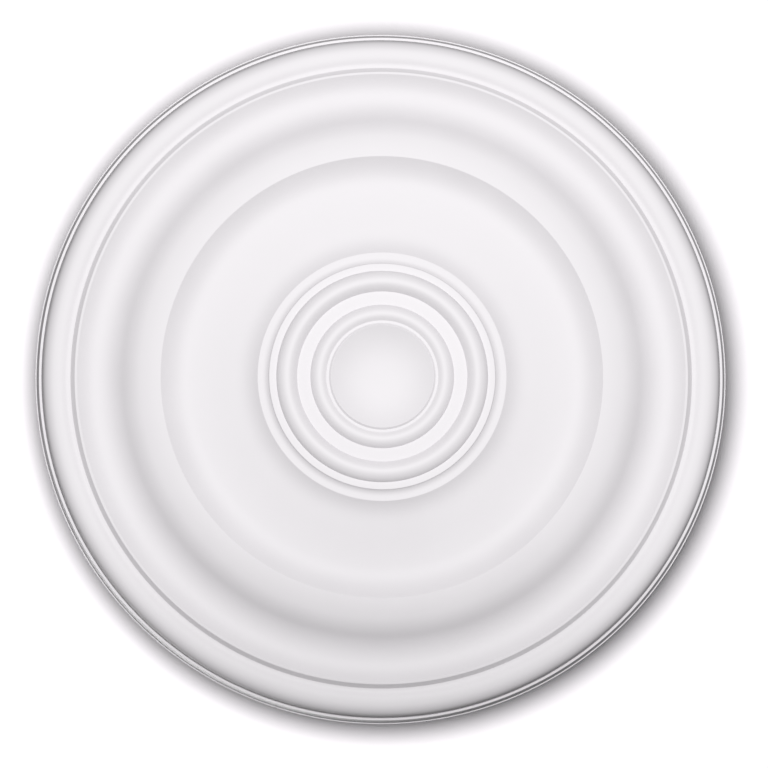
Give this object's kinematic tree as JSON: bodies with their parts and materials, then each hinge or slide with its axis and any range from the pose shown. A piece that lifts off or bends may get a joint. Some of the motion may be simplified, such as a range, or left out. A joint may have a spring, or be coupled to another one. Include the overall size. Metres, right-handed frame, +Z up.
{
  "type": "ceiling rose",
  "caption": "Round ceiling rose with plain concentric mouldings: dished boss with rolls, hollow field, raised border and rolled rim; flat back for fixing to a ceiling.",
  "frame": {"origin": "centre of the flat back, on the ceiling's plane", "axes": "+Z up, out of the flat back into the ceiling, on the axis that the rings are turned about; the moulded face looks down, towards -Z; X and Y are any two directions along the ceiling"},
  "size_m": [0.5, 0.5, 0.0236],
  "materials": {
    "white_primer": "smooth factory primer on stiff foam, matt with a slight sheen"
  },
  "bodies": {
    "root": {"ceiling_rose": "white_primer"}
  },
  "joints": []
}
